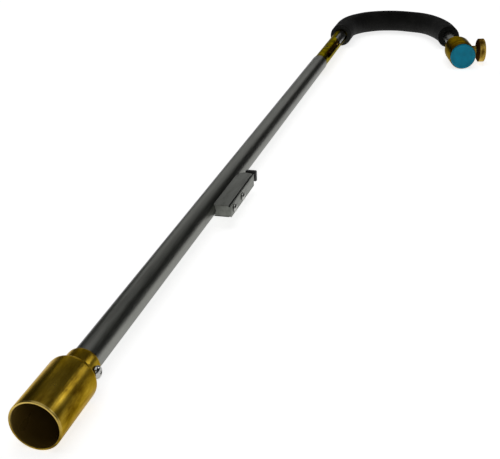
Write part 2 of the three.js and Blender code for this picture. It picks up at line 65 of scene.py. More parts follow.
# ---- driving sizes, in millimetres ---------------------------------------------------------
# Lengths along the tube are measured from the burner's mouth, radii from the tube's axis.
GAP = 0.3
TUBE = {"radius": 9, "bore": 7.8}
BELL = {"radius": 15.55, "wall": 1.4, "shoulder": 45, "neck_start": 47.6, "neck": 10.9, "end": 62.6}
BURNER_SCREW = {"head": 4, "height": 2.9, "shank": 1.7, "tip": 6.4}
BURNER_SCREW_X = 55
FLAME_HOLES = {"count": 8, "radius": 2.2, "circle": 8.6, "centre": 2.9}

BOX = {"start": 288.4, "end": 355, "side": 22.2, "half": 5.1, "sheet": 0.6, "seam": 1.3, "relief": 1.5}
TOP_CORNER = {"x": 359, "y": -12.4, "tube_slant": 31, "rear_slant": 15}
COVER_SCREW = {"head": 3.1, "height": 2.3, "shank": 1.5, "tip": 6.5}
COVER_SCREWS_X = {"front": 296.4, "rear": 319.7}
BUTTON = {"pad": 3.5, "half": 4.8, "stem": 3, "stem_bore": 2.4, "cup": 7.4}
SPRING = {"turns": 6, "wire": 0.25, "radius": 1.7}

MIXER = {"start": 730.3, "radius": 8.3, "bore": 7, "ring": 16, "end": 876, "spigot": 14, "throat": 5}
SLOT = {"half": 3.5, "rear_half": 6.4, "rear_start": 822, "end": 872, "angle": 57}
SET_SCREW = {"x": 776, "foot": 5.3, "top": 8.25, "radius": 1.9, "socket": 1.25, "socket_foot": 6.8}
JET = {"tip": 752, "seat": 770, "radius": 5, "bore": 2.8, "end": 832}
NOZZLE = {"radius": 3.9, "tail": 2.5, "bore": 1.5, "orifice": 0.4}
GAS_TUBE = {"start": 826, "end_gap": 52.3, "radius": 6.65, "bore": 5.4}
FOAM = {"start": 867, "radius": 14, "end_gap": 97, "front_room": 8.6, "room_end": 876.3, "bore": 7.1}
FOAM_RIM = 1.6

# Along the inlet's axis, measured from the front of its cap into the cane.
INLET_TO_STEM = 27.5
PIN_RADIUS = 1.9
INLET = {
    "front": 2.3, "radius": 15.75, "shoulder": 36, "socket_end": 17.0,
    "crest": 12.5, "root": 12.95, "pitch": 1.27,
}
COLLAR = {"start": 38.2, "groove": 44, "end": 48, "radius": 13.2}
NECK = {"radius": 9, "socket": 6.95, "socket_start": 52, "end": 62}
CAP = {"flange": 14.8, "flange_end": 2, "plug": 12.2, "plug_end": 11, "bore": 10.9}
# Along the valve's axis, measured from the inlet's.
STEM_RADIUS = 1.9
STEM_ROOM = {"start": 1.8, "end": 18, "radius": 4.2}
PASSAGE = {"radius": 1.6, "seat": 1.2, "outlet": 4}
NUT = {"seat": 16.05, "height": 4.6, "flats": 10, "neck": 3.9, "neck_start": 10}
KNOB = {"inner": 22.2, "outer": 30.8, "radius": 13.9, "recess": 1.8, "recess_radius": 8.8, "teeth": 60}
KNOB_SCREW = {"head": 4, "height": 1.9, "shank": 0.9}
KNOB_SCREW_LENGTH = 6.5


# ---- lines that shapes are built along -----------------------------------------------------
class Line:
    """A straight axis. A spot on it is its centre and two unit vectors across it."""

    def __init__(self, origin, axis):
        self.origin = Vector(origin)
        self.axis = Vector(axis).normalized()
        upright = abs(self.axis.z) > 0.9
        self.side = self.axis.cross(Vector((0, 1, 0)) if upright else UP).normalized()
        self.up = self.side.cross(self.axis)

    def spot(self, distance):
        return self.origin + self.axis * (distance * MM), self.side, self.up


class Cane:
    """The tube's axis carried on round the handle's bends, level all the way. A leg is a
    straight of some length, or a bend of some radius and its turn in degrees."""

    LEGS = ((904, 0), (57.6, 106.7), (13.1, 0), (50, 35.6), (138, 22.7), (109.4, 0))

    def __init__(self, origin):
        self.legs = []
        centre, heading, start = Vector(origin), 0.0, 0.0
        for size, degrees in self.LEGS:
            turn = math.radians(degrees)
            length = size * turn if turn else size
            self.legs.append((start, length, turn, centre.copy(), heading))
            centre, heading = self.ahead(centre, heading, length, turn, length)
            start += length
        self.length = start

    @staticmethod
    def ahead(centre, heading, length, turn, run):
        """Where a leg has got to after a run along it."""
        along = Vector((math.cos(heading), math.sin(heading), 0))
        right = Vector((math.sin(heading), -math.cos(heading), 0))
        if not turn:
            return centre + along * (run * MM), heading
        radius, part = length / turn, turn * run / length
        step = along * math.sin(part) + right * (1 - math.cos(part))
        return centre + step * (radius * MM), heading - part

    def spot(self, distance):
        leg = [leg for leg in self.legs if leg[0] <= distance or leg is self.legs[0]][-1]
        start, length, turn, centre, heading = leg
        centre, heading = self.ahead(centre, heading, length, turn, distance - start)
        return centre, Vector((math.sin(heading), -math.cos(heading), 0)), UP


tube_low, tube_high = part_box("main_tube")
tube_middle = (tube_low + tube_high) / 2
mouth = Vector((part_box("burner_bell")[0].x, tube_middle.y, tube_middle.z))
outward = Vector(joints["cap_pull"]["axis"])
valve_axis = Vector(joints["knob_turn"]["axis"])
stem_foot = Vector(joints["knob_turn"]["pos_m"])

tube_line = Line(mouth, (1, 0, 0))
cane_line = Cane(mouth)
inlet_line = Line(stem_foot + outward * (INLET_TO_STEM * MM), -outward)
valve_line = Line(stem_foot, valve_axis)


# ---- mesh helpers --------------------------------------------------------------------------
def softened(corners, steps=4):
    """A closed outline of (distance, radius, rounding) corners, with each corner that has a
    rounding rounded off."""
    points = []
    for i, corner in enumerate(corners):
        here = Vector(corner[:2])
        rounding = corner[2] if len(corner) > 2 else 0
        if not rounding:
            points.append(tuple(here))
            continue
        before = Vector(corners[i - 1][:2])
        after = Vector(corners[(i + 1) % len(corners)][:2])
        start = here + (before - here).normalized() * rounding
        end = here + (after - here).normalized() * rounding
        for k in range(steps + 1):
            t = k / steps
            points.append(tuple(start * (1 - t) ** 2 + here * (2 * t * (1 - t)) + end * t * t))
    return points


def new_piece(name, mesh, sharp=35):
    """An object for a finished mesh, smooth except where faces meet at more than sharp degrees."""
    bm = bmesh.new()
    bm.from_mesh(mesh)
    bmesh.ops.recalc_face_normals(bm, faces=bm.faces)
    bm.to_mesh(mesh)
    bm.free()
    mesh.polygons.foreach_set("use_smooth", [True] * len(mesh.polygons))
    mesh.set_sharp_from_angle(angle=math.radians(sharp))
    made = bpy.data.objects.new(name, mesh)
    bpy.context.scene.collection.objects.link(made)
    return made


def ringed(name, line, outline, sides=96, swell=None, sharp=35):
    """A closed outline of (distance, radius) points carried round a line. swell(distance,
    angle, radius) gives the radius where it isn't the same all the way round."""
    rings, points, faces = [], [], []
    for distance, radius in outline:
        centre, side, up = line.spot(distance)
        if radius <= 0:
            rings.append([len(points)] * sides)
            points.append(centre)
            continue
        rings.append(list(range(len(points), len(points) + sides)))
        for k in range(sides):
            angle = 2 * math.pi * k / sides
            reach = swell(distance, angle, radius) if swell else radius
            points.append(centre + (side * math.sin(angle) + up * math.cos(angle)) * (reach * MM))
    for i, ring in enumerate(rings):
        following = rings[(i + 1) % len(rings)]
        for k in range(sides):
            corners = [ring[k], ring[(k + 1) % sides], following[(k + 1) % sides], following[k]]
            corners = list(dict.fromkeys(corners))
            if len(corners) > 2:
                faces.append(corners)
    mesh = bpy.data.meshes.new(name)
    mesh.from_pydata(points, [], faces)
    return new_piece(name, mesh, sharp)


def tube_point(x, y, z):
    """A point from its place beside the tube: along it, across it and above its axis."""
    return mouth + Vector((x, y, z)) * MM


def along_tube(low, high):
    """Where a box in the frame starts and ends along the tube."""
    return (low.x - mouth.x) / MM, (high.x - mouth.x) / MM


def slab(name, low, high, rounding=0.0, segments=3):
    """A box between two corners beside the tube, with its edges rounded."""
    bm = bmesh.new()
    bmesh.ops.create_cube(bm, size=1)
    low, high = tube_point(*low), tube_point(*high)
    size = high - low
    for vertex in bm.verts:
        vertex.co = (low + high) / 2 + Vector(c * s for c, s in zip(vertex.co, size))
    if rounding:
        bmesh.ops.bevel(
            bm, geom=bm.edges[:], offset=rounding * MM, segments=segments, profile=0.5, affect="EDGES"
        )
    mesh = bpy.data.meshes.new(name)
    bm.to_mesh(mesh)
    bm.free()
    return new_piece(name, mesh)


def plug(line, start, end, radius, sides=48):
    """A plain rod along a line, used to cut or to add."""
    return ringed("plug", line, [(start, 0), (start, radius), (end, radius), (end, 0)], sides)


def combined(piece, operation, tools, sharp=35):
    """The piece with each tool cut away, added or used to trim it to their shared room, and
    the tools gone."""
    for tool in tools:
        change = piece.modifiers.new("change", "BOOLEAN")
        change.operation, change.solver, change.object = operation, "EXACT", tool
    graph = bpy.context.evaluated_depsgraph_get()
    result = bpy.data.meshes.new_from_object(piece.evaluated_get(graph))
    piece.modifiers.clear()
    piece.data = result
    result.polygons.foreach_set("use_smooth", [True] * len(result.polygons))
    result.set_sharp_from_angle(angle=math.radians(sharp))
    for tool in tools:
        bpy.data.objects.remove(tool)
    return piece


def cut(piece, *tools):
    return combined(piece, "DIFFERENCE", tools)


def add(piece, *tools):
    return combined(piece, "UNION", tools)


def settle(piece, look, slot, body, *nodes):
    """Gives a piece its material, its body and the CAD nodes that it replaces. slot is not used."""
    piece.data.materials.clear()
    piece.data.materials.append(look)
    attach(piece, body)
    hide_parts(*nodes)
    return piece


# ---- material helpers ----------------------------------------------------------------------
class Look:
    """A Principled material with the few node chains that every surface here is made of."""

    def __init__(self, name, colour, roughness=0.5, metallic=0.0, **sockets):
        self.material = bpy.data.materials.new(name)
        self.material.use_nodes = True
        self.tree = self.material.node_tree
        self.shader = self.tree.nodes["Principled BSDF"]
        self.shader.inputs["Base Color"].default_value = (*colour, 1)
        self.shader.inputs["Roughness"].default_value = roughness
        self.shader.inputs["Metallic"].default_value = metallic
        for socket, value in sockets.items():
            self.shader.inputs[socket.replace("_", " ")].default_value = value

    def node(self, kind, **inputs):
        made = self.tree.nodes.new("ShaderNode" + kind)
        for socket, value in inputs.items():
            target = made.inputs[socket.replace("_", " ")]
            if isinstance(value, bpy.types.NodeSocket):
                self.tree.links.new(value, target)
            else:
                target.default_value = value
        return made

    def noise(self, size, stretch=(1, 1, 1), turn=0.0, detail=4.0, contrast=0.5):
        """Noise whose blotches are about size mm across, longer along stretched axes. turn
        swings the axes about Z."""
        place = self.node("TexCoord").outputs["Object"]
        level = self.node("Mapping", Vector=place, Rotation=(0, 0, math.radians(turn)))
        level.vector_type = "TEXTURE"
        shape = self.node("Mapping", Vector=level.outputs[0], Scale=[1 / s for s in stretch])
        found = self.node(
            "TexNoise", Vector=shape.outputs[0], Scale=1000 / size, Detail=detail, Roughness=contrast
        )
        return found.outputs["Factor"] if "Factor" in found.outputs else found.outputs["Fac"]

    def ramp(self, factor, *stops):
        """Colour or grey stops of (position, colour) along a factor."""
        made = self.node("ValToRGB", Fac=factor)
        elements = made.color_ramp.elements
        while len(elements) < len(stops):
            elements.new(0.5)
        for element, (position, colour) in zip(elements, stops):
            element.position = position
            element.color = (*colour, 1) if isinstance(colour, tuple) else (colour, colour, colour, 1)
        return made.outputs["Color"]

    def mix(self, factor, first, second, blend="MIX"):
        """A share of the second colour over the first."""
        made = self.tree.nodes.new("ShaderNodeMix")
        made.data_type, made.blend_type = "RGBA", blend
        made.inputs[0].default_value = factor
        self.tree.links.new(first, made.inputs[6])
        self.tree.links.new(second, made.inputs[7])
        return made.outputs[2]

    def beyond(self, point, direction, softness=0.6):
        """1 past the plane through a point that faces a direction, 0 before it."""
        along = self.node("VectorMath", Vector=self.node("TexCoord").outputs["Object"])
        along.operation = "DOT_PRODUCT"
        along.inputs[1].default_value = direction
        level = Vector(point).dot(direction)
        return self.node(
            "MapRange", Value=along.outputs["Value"], From_Min=level - softness * MM, From_Max=level
        ).outputs[0]

    def within(self, point, across, radius, softness=0.2):
        """1 nearer than a radius to the axis through a point, 0 outside. across is 1 on the
        two world axes that are square to it and 0 on the other."""
        away = self.node("VectorMath", Vector=self.node("TexCoord").outputs["Object"])
        away.operation = "SUBTRACT"
        away.inputs[1].default_value = point
        flat = self.node("VectorMath", Vector=away.outputs["Vector"])
        flat.operation = "MULTIPLY"
        flat.inputs[1].default_value = across
        distance = self.node("VectorMath", Vector=flat.outputs["Vector"])
        distance.operation = "LENGTH"
        return self.node(
            "MapRange", Value=distance.outputs["Value"], From_Min=radius * MM,
            From_Max=(radius + softness) * MM, To_Min=1.0, To_Max=0.0,
        ).outputs[0]

    def both(self, first, second):
        """1 where two masks are both 1."""
        made = self.node("Math")
        made.operation = "MULTIPLY"
        self.tree.links.new(first, made.inputs[0])
        self.tree.links.new(second, made.inputs[1])
        return made.outputs[0]

    def stain(self, mask, colour, **sockets):
        """Lays a colour, and other levels, over what the surface has, where the mask is 1."""
        made = self.tree.nodes.new("ShaderNodeMix")
        made.data_type = "RGBA"
        base = self.shader.inputs["Base Color"]
        self.tree.links.new(mask, made.inputs[0])
        self.tree.links.new(base.links[0].from_socket, made.inputs[6])
        made.inputs[7].default_value = (*colour, 1)
        self.tree.links.new(made.outputs[2], base)
        for name, level in sockets.items():
            target = self.shader.inputs[name.replace("_", " ")]
            share = self.node("MapRange", Value=mask, To_Min=target.default_value, To_Max=level)
            self.tree.links.new(share.outputs[0], target)
        return self

    def colour(self, output):
        self.tree.links.new(output, self.shader.inputs["Base Color"])
        return self

    def rough(self, factor, low, high):
        span = self.node("MapRange", Value=factor, From_Min=0.3, From_Max=0.7, To_Min=low, To_Max=high)
        self.tree.links.new(span.outputs[0], self.shader.inputs["Roughness"])
        return self

    def bump(self, *layers):
        """Layers of (height factor, depth in mm)."""
        normal = None
        for factor, depth in layers:
            made = self.node("Bump", Height=factor, Distance=depth * MM, Strength=1.0)
            if normal:
                self.tree.links.new(normal, made.inputs["Normal"])
            normal = made.outputs[0]
        self.tree.links.new(normal, self.shader.inputs["Normal"])
        return self


# How far tool marks are drawn out along X, Y and Z, and the inlet's turn about Z in degrees.
ALONG_TUBE = (40, 1, 1)
ROUND_TUBE = (1, 12, 12)
INLET_TURN = 15


def scaled(colour, share):
    return tuple(min(1.0, level * share) for level in colour)


def brass_look(name, dark, middle, bright, patch, stretch, marks, turn=0.0, edge=(0.95, 0.78, 0.46)):
    """Tarnished brass: brown patches over gold, with fine tool marks. edge is its colour where
    it is seen at a glancing angle."""
    look = Look(name, middle, 0.3, 1.0, Specular_Tint=(*edge, 1))
    patches = look.noise(patch, stretch, turn, detail=6, contrast=0.6)
    tool_marks = look.noise(0.8, marks, turn, detail=3)
    base = look.ramp(patches, (0.37, dark), (0.5, middle), (0.66, bright))
    streak = look.ramp(tool_marks, (0.3, 0.72), (0.7, 1.0))
    look.colour(look.mix(0.8, base, streak, "MULTIPLY"))
    look.rough(patches, 0.4, 0.24)
    look.bump((tool_marks, 0.03), (look.noise(3.0, detail=3), 0.05))
    return look


def metal_look(name, colour, roughness, marks=(1, 1, 1), mottle=0.12, edge=1.0):
    """Plain metal with tool marks and faint mottling. edge is its level at a glancing angle."""
    look = Look(name, colour, roughness, 1.0, Specular_Tint=(edge, edge, edge, 1))
    lines = look.noise(0.6, marks, detail=4)
    clouds = look.noise(22, (2, 1, 1), detail=5, contrast=0.6)
    dim, lit, scored = (scaled(colour, k) for k in (1 - mottle, 1 + mottle, 1 - 1.5 * mottle))
    shade = look.ramp(clouds, (0.3, dim), (0.7, lit))
    streak = look.ramp(lines, (0.3, scored), (0.7, colour))
    look.colour(look.mix(0.5, shade, streak))
    look.rough(lines, roughness - 0.06, roughness + 0.06)
    look.bump((lines, 0.02))
    return look.material


def plain_look(name, colour, roughness, grain=0.4, depth=0.02, vary=0.15, **sockets):
    """Moulded or fired material: a fine grain and a slight change of shade."""
    look = Look(name, colour, roughness, 0.0, **sockets)
    grains = look.noise(grain, detail=3)
    clouds = look.noise(9, detail=4)
    dim, lit = scaled(colour, 1 - vary), scaled(colour, 1 + vary)
    look.colour(look.ramp(clouds, (0.3, dim), (0.7, lit)))
    look.rough(clouds, roughness - 0.05, roughness + 0.07)
    look.bump((grains, depth))
    return look.material


def foam_look(centre, facing):
    """Black closed-cell foam: small cells, soft scuffs and a greyer cut face at its front end,
    given as its centre and the way that it faces. The grey of that face is partly the cut foam's
    own colour and partly a painted sheen."""
    look = Look("foam", (0.006, 0.006, 0.0055), 0.8, 0.0, Specular_IOR_Level=0.12, Sheen_Weight=0.03)
    cells = look.node(
        "TexVoronoi", Vector=look.node("TexCoord").outputs["Object"], Scale=1400.0
    ).outputs["Distance"]
    scuffs = look.noise(26, (1.5, 1.5, 1), detail=5, contrast=0.6)
    look.colour(look.ramp(scuffs, (0.4, (0.0035, 0.0035, 0.003)), (0.75, (0.010, 0.010, 0.009))))
    look.rough(scuffs, 0.92, 0.7)
    look.bump((cells, 0.12), (look.noise(7, detail=4), 0.25))
    # Partly painted sheen, partly the cut foam's greyer colour: the front end face is made lighter grey.
    look.stain(look.beyond(centre - facing * (0.4 * MM), facing), (0.016, 0.0165, 0.015))
    return look.material


def cover_look():
    """Grey sheet with brush marks along the tube and a few darker drags."""
    look = Look("cover_sheet", (0.22, 0.23, 0.20), 0.5, 0.6)
    brushed = look.noise(0.7, (30, 1, 1), detail=4)
    drags = look.noise(5, (4, 1, 1), detail=5, contrast=0.65)
    dark, middle, light = (0.10, 0.105, 0.09), (0.19, 0.20, 0.17), (0.24, 0.25, 0.22)
    shade = look.ramp(drags, (0.32, dark), (0.48, middle), (0.7, light))
    look.colour(look.mix(0.25, shade, look.ramp(brushed, (0.3, 0.12), (0.7, 0.26))))
    look.rough(brushed, 0.42, 0.58)
    look.bump((brushed, 0.02), (drags, 0.04))
    return look.material


def bell_look():
    """Heat-tinted brass, browned over with oxide inside the bell, with a painted highlight on the
    upper part of its lip."""
    look = brass_look(
        "bell_brass", (0.085, 0.042, 0.003), (0.26, 0.165, 0.013), (0.44, 0.30, 0.035), 13,
        (2.6, 1, 1), ALONG_TUBE,
    )
    towards_mouth = (-1, 0, 0)
    hollow = look.within(mouth, (0, 1, 1), BELL["radius"] - BELL["wall"] + 0.15)
    before_neck = look.beyond(tube_point(BELL["shoulder"] + 1, 0, 0), towards_mouth)
    look.stain(look.both(hollow, before_neck), (0.12, 0.075, 0.015), Metallic=0.1)
    # Painted highlight: the lip is made brighter gold on its upper part, more so towards the top.
    lip = look.beyond(tube_point(1.0, 0, 0), towards_mouth)
    upper = look.beyond(tube_point(0, 0, 13), UP, 18)
    look.stain(look.both(lip, upper), (0.56, 0.41, 0.11))
    return look.material


def knob_look():
    """Polished brass, with painted shade on the face next to the body: that face is dark, dull and not
    metallic.
    """
    look = brass_look(
        "knob_brass", (0.14, 0.075, 0.01), (0.40, 0.27, 0.045), (0.62, 0.44, 0.11), 9,
        (2, 1, 2), (14, 1, 14), INLET_TURN,
    )
    # Painted shade: the inner face, which looks at the body, is made dark brown, dull and not metallic.
    painted_shade = look.beyond(valve_line.spot(KNOB["inner"] + 1)[0], -valve_axis)
    look.stain(painted_shade, (0.065, 0.026, 0.004), Metallic=0.0, Roughness=0.95, Specular_IOR_Level=0.0)
    return look.material


bell_brass = bell_look()
knob_brass = knob_look()
sleeve_brass = brass_look(
    "sleeve_brass", (0.085, 0.066, 0.006), (0.14, 0.112, 0.010), (0.28, 0.23, 0.022), 9,
    (1, 1, 1), ROUND_TUBE, edge=(0.75, 0.66, 0.30),
).material
jet_brass = brass_look(
    "jet_brass", (0.08, 0.03, 0.006), (0.24, 0.11, 0.025), (0.42, 0.24, 0.08), 7,
    (4, 1, 1), ROUND_TUBE,
).material
body_brass = brass_look(
    "body_brass", (0.05, 0.031, 0.003), (0.11, 0.076, 0.009), (0.28, 0.20, 0.035), 10,
    (1, 2, 2), (1, 14, 14), INLET_TURN, edge=(0.72, 0.59, 0.28),
).material
tube_aluminium = metal_look("tube_aluminium", (0.25, 0.253, 0.232), 0.35, ALONG_TUBE, edge=0.65)
gas_aluminium = metal_look("gas_aluminium", (0.22, 0.22, 0.205), 0.38, ALONG_TUBE)
screw_steel = metal_look("screw_steel", (0.42, 0.42, 0.40), 0.16, mottle=0.06, edge=0.7)
dark_steel = metal_look("dark_steel", (0.16, 0.155, 0.15), 0.45, mottle=0.3)
black_oxide = plain_look("black_oxide", (0.02, 0.013, 0.012), 0.5)
spring_steel = metal_look("spring_steel", (0.55, 0.55, 0.56), 0.3)
heated_steel = metal_look("heated_steel", (0.22, 0.17, 0.15), 0.5, mottle=0.4)
sintered_bronze = plain_look("sintered_bronze", (0.32, 0.19, 0.08), 0.7, 0.5, 0.1, 0.3, Metallic=0.8)
ceramic = plain_look("ceramic", (0.78, 0.75, 0.66), 0.25, 0.6, 0.01, 0.06, Coat_Weight=0.5)
crystal = plain_look("crystal", (0.20, 0.20, 0.22), 0.55)
black_plastic = plain_look("black_plastic", (0.011, 0.011, 0.010), 0.38, 0.5, 0.02, 0.2)
housing_plastic = plain_look("housing_plastic", (0.02, 0.02, 0.02), 0.5)
blue_plastic = plain_look(
    "blue_plastic", (0.001, 0.19, 0.29), 0.55, 0.7, 0.03, 0.14,
    Specular_IOR_Level=0.14, Subsurface_Weight=0.04,
)
soft_rubber = plain_look("soft_rubber", (0.015, 0.015, 0.014), 0.7)
red_silicone = plain_look("red_silicone", (0.42, 0.03, 0.02), 0.45)


# ---- burner --------------------------------------------------------------------------------
def burner_bell():
    """Drawn bell with a rolled lip, a rounded shoulder and a ring pressed into its neck."""
    radius, inner, bore = BELL["radius"], BELL["radius"] - BELL["wall"], TUBE["radius"] + GAP
    neck, neck_start, end = BELL["neck"], BELL["neck_start"], BELL["end"]
    shoulder, lip, ring = BELL["shoulder"] + 1, 0.55, neck_start + 3.2
    outline = softened([
        (0, radius, lip),
        (neck_start, radius, 3.1),
        (neck_start + 0.1, neck, 0.5),
        (ring, neck),
        (ring + 0.35, neck - 0.3),
        (ring + 0.7, neck),
        (end, neck, 2.2),
        (end, bore),
        (shoulder, bore),
        (shoulder, inner, 3.5),
        (0, inner, lip),
    ])
    bell = ringed("burner_shell", tube_line, outline, 160)
    return settle(bell, bell_brass, "bell_brass", "torch", "burner_bell")


def flame_disc():
    """Pressed disc across the bell, with gas holes and a hole for the insulator."""
    low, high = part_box("flame_holder")
    start, end = along_tube(low, high)
    radius = (high.z - low.z) / 2 / MM
    disc = ringed("flame_disc", tube_line, softened([
        (start, radius, 0.4),
        (end, radius, 0.4),
        (end, FLAME_HOLES["centre"], 0.3),
        (start, FLAME_HOLES["centre"], 0.3),
    ]), 96)
    holes = []
    for i in range(FLAME_HOLES["count"]):
        angle = 2 * math.pi * i / FLAME_HOLES["count"]
        out = Vector((0, math.cos(angle), math.sin(angle)))
        axis = Line(mouth + out * (FLAME_HOLES["circle"] * MM), (1, 0, 0))
        holes.append(plug(axis, start - 1, end + 1, FLAME_HOLES["radius"], 32))
    cut(disc, *holes)
    return settle(disc, heated_steel, "disc_steel", "torch", "flame_holder")


def cross_recess(line, top, head):
    """Two wedges that cut a cross into a screw's head of some radius, whose top is at top."""
    depth, arm, half, floor_share = 0.9, head * 0.55, head * 0.14, 0.4
    centre, side, up = line.spot(top)
    wedges = []
    for across, thick in ((side, up), (up, side)):
        bm = bmesh.new()
        bmesh.ops.create_cube(bm, size=2)
        for vertex in bm.verts:
            x, y, z = vertex.co
            share = 1 if x > 0 else floor_share
            offset = line.axis * (x * depth) + (across * (y * arm) + thick * (z * half)) * share
            vertex.co = centre + offset * MM
        mesh = bpy.data.meshes.new("recess")
        bm.to_mesh(mesh)
        bm.free()
        wedges.append(new_piece("recess", mesh))
    return wedges


def dome_screw(name, line, seat, node, body, head, height, shank, tip):
    """Domed screw with a cross recess. The underside of its head is at seat, its tip at tip."""
    rim, pitch, depth, steps = 0.5, 0.7, 0.22, 12
    dome = [(seat, shank), (seat, head), (seat + rim, head)]
    for k in range(1, steps):
        angle = math.pi / 2 * k / steps
        dome.append((seat + rim + (height - rim) * math.sin(angle), head * math.cos(angle)))
    dome.append((seat + height, 0))
    thread = []
    for k in range(int((seat - tip - 1) / pitch)):
        crest = tip + 1 + pitch * k
        thread += [(crest, shank), (crest + pitch / 2, shank - depth)]
    screw = ringed(name, line, [(tip, 0), (tip, shank - 0.4), *thread, *dome], 64, sharp=50)
    cut(screw, *cross_recess(line, seat + height, head))
    return settle(screw, screw_steel, "screw_steel", body, node)


def across_tube(x):
    """A line out of the tube's side, square to it, at a distance along it."""
    return Line(tube_point(x, 0, 0), (0, -1, 0))


def burner():
    burner_bell()
    flame_disc()
    line, seat = across_tube(BURNER_SCREW_X), BELL["neck"] + GAP
    dome_screw("burner_neck_screw", line, seat, "burner_screw", "torch", **BURNER_SCREW)


# ---- tube ----------------------------------------------------------------------------------
def main_tube():
    """Plain drawn tube with its edges broken."""
    start, end = along_tube(tube_low, tube_high)
    radius, bore = TUBE["radius"], TUBE["bore"]
    outline = softened([
        (start, radius, 0.4), (end, radius, 0.5), (end, bore, 0.3), (start, bore, 0.3),
    ])
    tube = ringed("long_tube", tube_line, outline, 128)
    return settle(tube, tube_aluminium, "tube_aluminium", "torch", "main_tube")


# ---- igniter -------------------------------------------------------------------------------
def slanted_cutter(low, high, degrees):
    """A block that trims the cover's top. Its two corners are measured from the top's rear
    corner, round which it is turned clockwise, seen from above, by some degrees."""
    block = slab("slanted", low, high)
    turn = Matrix.Rotation(-math.radians(degrees), 4, "Z")
    place = Matrix.Translation(tube_point(TOP_CORNER["x"], TOP_CORNER["y"], 0))
    block.data.transform(place @ turn @ Matrix.Translation(-mouth))
    return block


def igniter_cover():
    """Folded sheet cover with rounded folds, open seams and a longer top between two slants."""
    start, side, half, sheet = BOX["start"], BOX["side"], BOX["half"], BOX["sheet"]
    relief, top_end = BOX["relief"], TOP_CORNER["x"]
    inner_side, inner_top = side - sheet, half - sheet
    seam_edge = BOX["seam"] - inner_side
    cover = slab("igniter_shell", (start, -side, -half), (top_end, 0, half), 0.4)
    tools = [
        slab("inside", (start + sheet, -inner_side, -inner_top), (top_end + 1, 1, inner_top), 0.2),
        plug(tube_line, start - 1, top_end + 1, TUBE["radius"] + GAP, 96),
        slab("seam", (start + sheet, -inner_side, inner_top - 1), (top_end + 1, seam_edge, half + 1)),
        slab("front_seam", (start - 1, -inner_side, 0.3 - half), (start + sheet, 1, 0.5 - inner_top)),
        slab("rear", (BOX["end"], -side - 1, -half - 1), (top_end + 1, 1, inner_top - 0.1)),
        slanted_cutter((-15, 0, inner_top - 0.1), (3, 9, half + 1), TOP_CORNER["tube_slant"]),
        slanted_cutter((0, -12, inner_top - 0.1), (6, 1, half + 1), TOP_CORNER["rear_slant"]),
    ]
    for height in (half, -half):
        tools.append(slab(
            "relief", (start - 1, -inner_side, height - relief),
            (start + 2 * sheet, relief - inner_side, height + relief),
        ))
    for x in COVER_SCREWS_X.values():
        tools.append(plug(across_tube(x), inner_side - 1, side + 1, COVER_SCREW["shank"] + GAP))
    cut(cover, *tools)
    return settle(cover, cover_look(), "cover_sheet", "torch", "igniter_cover")


def igniter_button():
    """Thumb pad with soft edges and a shallow dish, on its hollow stem."""
    low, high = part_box("igniter_button")
    piezo_low, piezo_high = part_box("piezo_crystal")
    line = Line((mouth.x, (piezo_low.y + piezo_high.y) / 2, mouth.z), (1, 0, 0))
    start, end = along_tube(low, high)
    inner, outer = (mouth.y - high.y) / MM, (mouth.y - low.y) / MM
    pad_start, half = end - BUTTON["pad"], BUTTON["half"]
    pad = slab("thumb_pad", (pad_start, -outer, -half), (end, -inner, half), 1.1, 5)
    radius, bore, cup = BUTTON["stem"], BUTTON["stem_bore"], start + BUTTON["cup"]
    stem = ringed("stem", line, softened([
        (start, radius, 0.2),
        (pad_start + 1, radius),
        (pad_start + 1, 0),
        (cup, 0),
        (cup, bore),
        (start, bore, 0.1),
    ]), 48)
    add(pad, stem)
    dish_centre = Vector((mouth.x, (low.y + high.y) / 2, mouth.z))
    dish = ringed("dish", Line(dish_centre, (1, 0, 0)), dish_outline(end, radius=3.4, depth=0.55), 64)
    cut(pad, dish)
    return settle(pad, black_plastic, "button_plastic", "button", "igniter_button")


def dish_outline(face, radius, depth, steps=8):
    """A shallow lens that cuts a dish of this radius and depth into a face."""
    points = [(face + 1, 0), (face + 1, radius)]
    for k in range(steps + 1):
        share = 1 - k / steps
        points.append((face + 0.01 - depth * (1 - share * share), radius * share))
    return points


def button_spring():
    """Coil of even pitch, wound from its fixed end."""
    low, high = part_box("button_spring")
    centre_y, centre_z = (low.y + high.y) / 2, (low.z + high.z) / 2
    wire, steps, sides = SPRING["wire"], 240, 8
    length = (high.x - low.x) / MM - 2 * wire
    fixed_end, ahead = Vector((low.x, centre_y, centre_z)), Vector((1, 0, 0))
    points, faces = [], []
    for i in range(steps + 1):
        angle = 2 * math.pi * SPRING["turns"] * i / steps
        out = Vector((0, math.cos(angle), math.sin(angle)))
        centre = fixed_end + (ahead * (wire + length * i / steps) + out * SPRING["radius"]) * MM
        for k in range(sides):
            turn = 2 * math.pi * k / sides
            points.append(centre + (out * math.cos(turn) + ahead * math.sin(turn)) * (wire * MM))
    for i in range(steps):
        for k in range(sides):
            here, beside = i * sides + k, i * sides + (k + 1) % sides
            faces.append([here, beside, beside + sides, here + sides])
    faces += [list(range(sides)), list(range(steps * sides, (steps + 1) * sides))]
    mesh = bpy.data.meshes.new("return_spring")
    mesh.from_pydata(points, [], faces)
    spring = new_piece("return_spring", mesh)
    settle(spring, spring_steel, "spring_steel", "torch", "button_spring")
    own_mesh(spring)


def igniter():
    igniter_cover()
    for end, x in COVER_SCREWS_X.items():
        line, seat = across_tube(x), BOX["side"] + GAP
        dome_screw(f"cover_{end}_screw", line, seat, f"cover_screw_{end}", "torch", **COVER_SCREW)
    igniter_button()
    button_spring()


